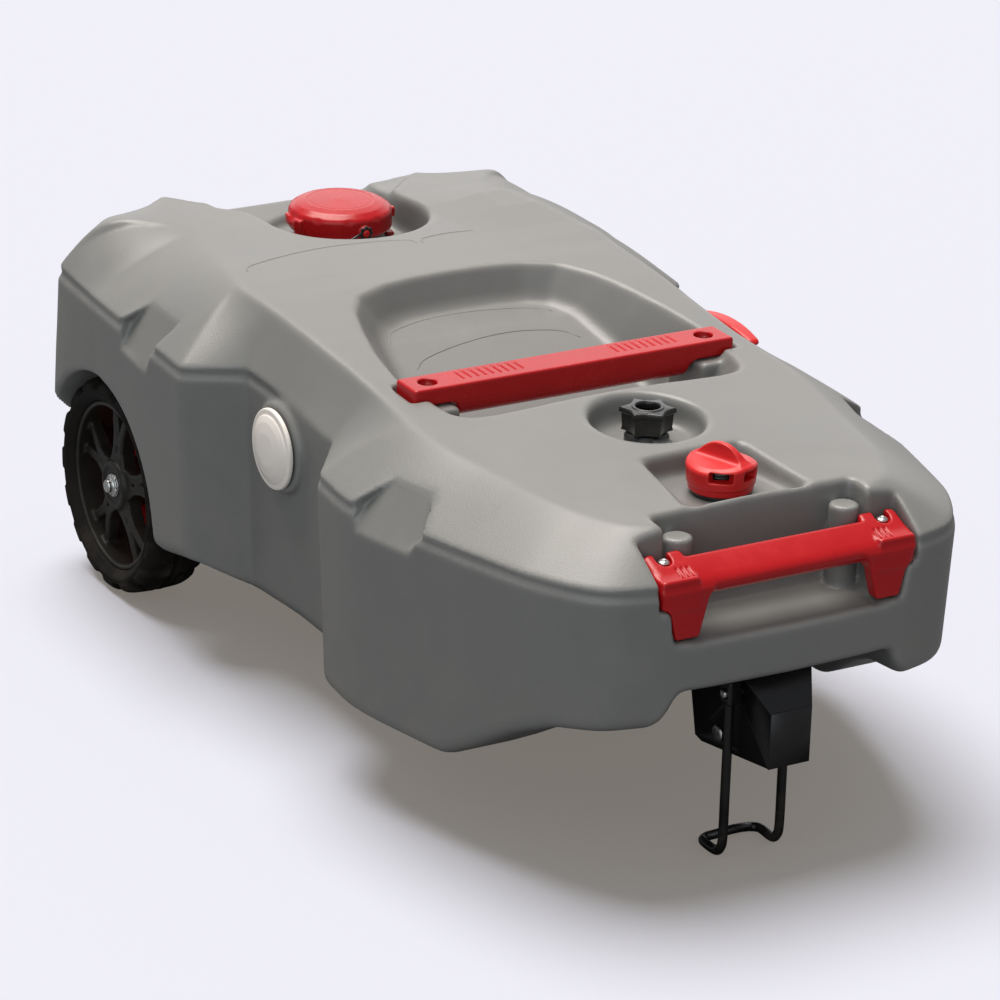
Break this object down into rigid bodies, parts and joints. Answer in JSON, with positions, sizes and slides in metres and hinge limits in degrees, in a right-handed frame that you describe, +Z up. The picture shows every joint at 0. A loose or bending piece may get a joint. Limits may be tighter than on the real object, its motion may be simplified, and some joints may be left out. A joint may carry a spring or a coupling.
{
  "type": "portable waste water tank",
  "caption": "Towable moulded waste water tank with wheels, carrying handles, bayonet inlet cap, vent, rinse port, gate valve outlet and a folding wire stand.",
  "frame": {"origin": "on the ground under the middle of the overall length and width", "axes": "+X towards the nose that is towed, +Y towards the gate valve, +Z up"},
  "size_m": [0.892, 0.516, 0.347],
  "materials": {
    "tank": "moulded mid-grey, fine grain",
    "red_plastic": "satin deep red",
    "bright_red_plastic": "satin bright red",
    "black_plastic": "satin black",
    "collar_plastic": "dark green-grey",
    "white_plastic": "satin white",
    "tyre": "solid black tyre",
    "rim_plastic": "satin black",
    "zinc": "zinc plated",
    "black_steel": "black coated steel",
    "seal_rubber": "black rubber"
  },
  "bodies": {
    "tank": {"tank_shell": "tank", "mid_handle": "red_plastic", "front_handle": "red_plastic", "rinse_body": "black_plastic", "vent_neck": "black_plastic", "outlet_flange": "black_plastic", "valve_body_inner": "black_plastic", "valve_body_outer": "black_plastic", "outlet_spigot": "black_plastic", "wheel_spacer_left": "black_plastic", "wheel_spacer_right": "black_plastic", "inlet_collar": "collar_plastic", "side_port_cover": "white_plastic", "inlet_stud_left": "zinc", "inlet_stud_right": "zinc", "mid_handle_screw_left": "zinc", "mid_handle_screw_right": "zinc", "front_handle_screw_left": "zinc", "front_handle_screw_right": "zinc", "valve_bolt_1": "zinc", "valve_bolt_2": "zinc", "valve_bolt_3": "zinc", "valve_bolt_4": "zinc", "axle": "zinc", "axle_nut_left": "zinc", "axle_nut_right": "zinc", "bracket_bolt_left": "zinc", "bracket_bolt_right": "zinc", "stand_pivot_pin": "zinc", "tow_bracket": "black_steel", "stand_sleeve": "black_steel", "axle_strap_left": "black_steel", "axle_strap_right": "black_steel", "rinse_washer": "seal_rubber", "side_port_seal": "seal_rubber", "valve_seal_inner": "seal_rubber", "valve_seal_outer": "seal_rubber"},
    "wheel_left": {"tyre_left": "tyre", "rim_left": "rim_plastic", "rim_insert_left": "red_plastic", "wheel_bush_left": "zinc"},
    "wheel_right": {"tyre_right": "tyre", "rim_right": "rim_plastic", "rim_insert_right": "red_plastic", "wheel_bush_right": "zinc"},
    "inlet_lift": {"inlet_seal": "seal_rubber"},
    "inlet_cap": {"inlet_cap": "red_plastic", "inlet_knob": "bright_red_plastic", "inlet_tether": "black_plastic"},
    "vent_lift": {"vent_seal": "seal_rubber"},
    "vent_cap": {"vent_cap": "bright_red_plastic"},
    "rinse_nut": {"rinse_swivel_nut": "black_plastic"},
    "valve": {"valve_blade": "black_plastic", "valve_stem": "zinc", "valve_t_handle": "red_plastic"},
    "outlet_lift": {"outlet_seal": "seal_rubber"},
    "outlet_cap": {"outlet_cap": "red_plastic"},
    "stand": {"stand_wire": "black_steel"},
    "hitch_pin": {"hitch_pin": "zinc"}
  },
  "joints": [
    {"name": "wheel_left_spin", "type": "hinge", "parent": "tank", "child": "wheel_left", "pos_m": [-0.334, 0.209, 0.1016], "axis": [0, 1, 0], "continuous": true},
    {"name": "wheel_right_spin", "type": "hinge", "parent": "tank", "child": "wheel_right", "pos_m": [-0.334, -0.209, 0.1016], "axis": [0, 1, 0], "continuous": true},
    {"name": "inlet_cap_lift", "type": "slide", "parent": "tank", "child": "inlet_lift", "axis": [0, 0, 1], "range_m": [0, 0.026]},
    {"name": "inlet_cap_twist", "type": "hinge", "parent": "inlet_lift", "child": "inlet_cap", "pos_m": [-0.334, 0, 0.33], "axis": [0, 0, -1], "range_deg": [0, 60]},
    {"name": "vent_cap_lift", "type": "slide", "parent": "tank", "child": "vent_lift", "axis": [0, 0, 1], "range_m": [0, 0.012]},
    {"name": "vent_cap_twist", "type": "hinge", "parent": "vent_lift", "child": "vent_cap", "pos_m": [0.326, 0, 0.32], "axis": [0, 0, 1], "range_deg": [0, 540]},
    {"name": "rinse_nut_spin", "type": "hinge", "parent": "tank", "child": "rinse_nut", "pos_m": [0.211, 0, 0.318], "axis": [0, 0, 1], "continuous": true},
    {"name": "valve_slide", "type": "slide", "parent": "tank", "child": "valve", "axis": [0, 0, 1], "range_m": [0, 0.0765]},
    {"name": "outlet_cap_pull", "type": "slide", "parent": "tank", "child": "outlet_lift", "axis": [0, 1, 0], "range_m": [0, 0.022]},
    {"name": "outlet_cap_twist", "type": "hinge", "parent": "outlet_lift", "child": "outlet_cap", "pos_m": [-0.007, 0.25, 0.135], "axis": [0, 1, 0], "range_deg": [0, 90]},
    {"name": "stand_fold", "type": "hinge", "parent": "tank", "child": "stand", "pos_m": [0.397, 0, 0.15], "axis": [0, 1, 0], "range_deg": [0, 75]},
    {"name": "hitch_pin_pull", "type": "slide", "parent": "tank", "child": "hitch_pin", "axis": [0, -1, 0], "range_m": [0, 0.045]}
  ],
  "couplings": [
    {"joint": "inlet_cap_lift", "follows": "inlet_cap_twist", "m_per_rad": 0.024827},
    {"joint": "vent_cap_lift", "follows": "vent_cap_twist", "m_per_rad": 0.001272},
    {"joint": "outlet_cap_pull", "follows": "outlet_cap_twist", "m_per_rad": 0.014005}
  ]
}
